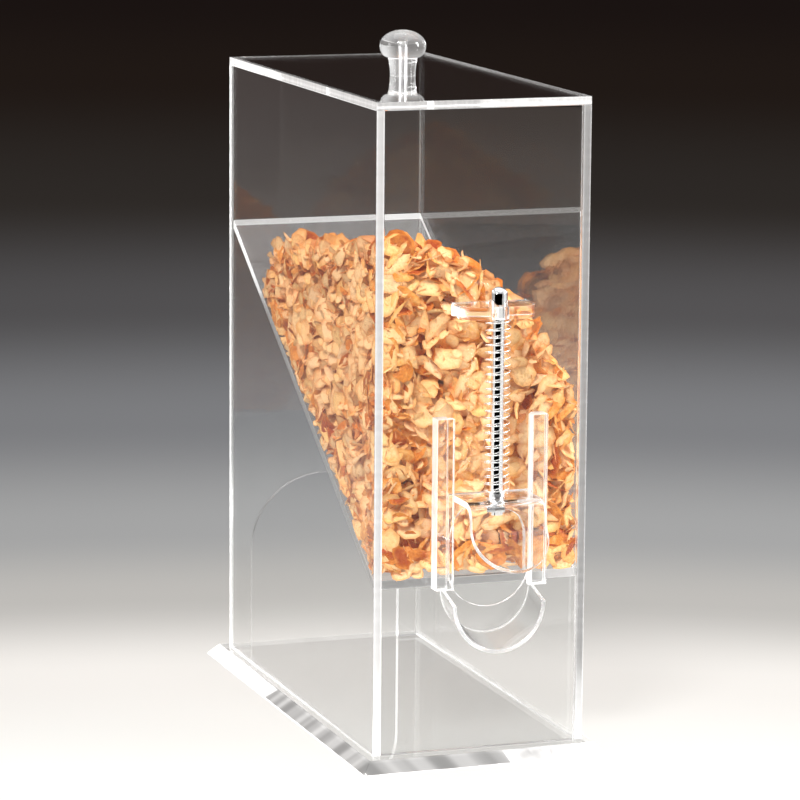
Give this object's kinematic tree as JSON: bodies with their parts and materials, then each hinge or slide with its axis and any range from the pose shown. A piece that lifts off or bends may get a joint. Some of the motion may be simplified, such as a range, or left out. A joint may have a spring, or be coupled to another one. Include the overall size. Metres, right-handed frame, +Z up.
{
  "type": "gravity bulk food bin",
  "caption": "Tall clear bin with a sloping floor, a lift-off lid and a spring-loaded front gate that is pushed up by a lip to let dry food fall into a spout.",
  "frame": {"origin": "On the underside of the base plate, at the middle of the box's footprint.", "axes": "+Z up, +Y towards the back; the gate and spout are on the -Y side; +X is to the right of someone facing the gate."},
  "size_m": [0.191, 0.4446, 0.525],
  "materials": {
    "clear_acrylic": "gloss",
    "chrome": "polished",
    "spring_steel": "satin",
    "screw_steel": "satin",
    "cereal": "matte"
  },
  "bodies": {
    "bin": {"base_plate": "clear_acrylic", "left_panel": "clear_acrylic", "right_panel": "clear_acrylic", "front_panel": "clear_acrylic", "back_panel": "clear_acrylic", "ramp": "clear_acrylic", "guide_spacer_left": "clear_acrylic", "guide_spacer_right": "clear_acrylic", "guide_cover_left": "clear_acrylic", "guide_cover_right": "clear_acrylic", "spring_bracket": "clear_acrylic", "spout": "clear_acrylic", "bracket_bushing": "chrome", "lift_spring": "spring_steel", "cereal_fill": "cereal"},
    "gate": {"gate_plate": "clear_acrylic", "lift_lip": "clear_acrylic", "lift_rod": "chrome", "rod_cap": "chrome", "rod_collar": "chrome", "rod_nut": "chrome"},
    "lid": {"lid": "clear_acrylic", "lid_knob": "clear_acrylic", "knob_screw": "screw_steel"}
  },
  "joints": [
    {"name": "gate_lift", "type": "slide", "parent": "bin", "child": "gate", "axis": [0, 0, 1], "range_m": [0, 0.08], "stiffness_N_per_m": 130, "springref_m": -0.03, "deforming": ["lift_spring"]},
    {"name": "lid_lift", "type": "slide", "parent": "bin", "child": "lid", "axis": [0, 0, 1], "range_m": [0, 0.1]}
  ]
}
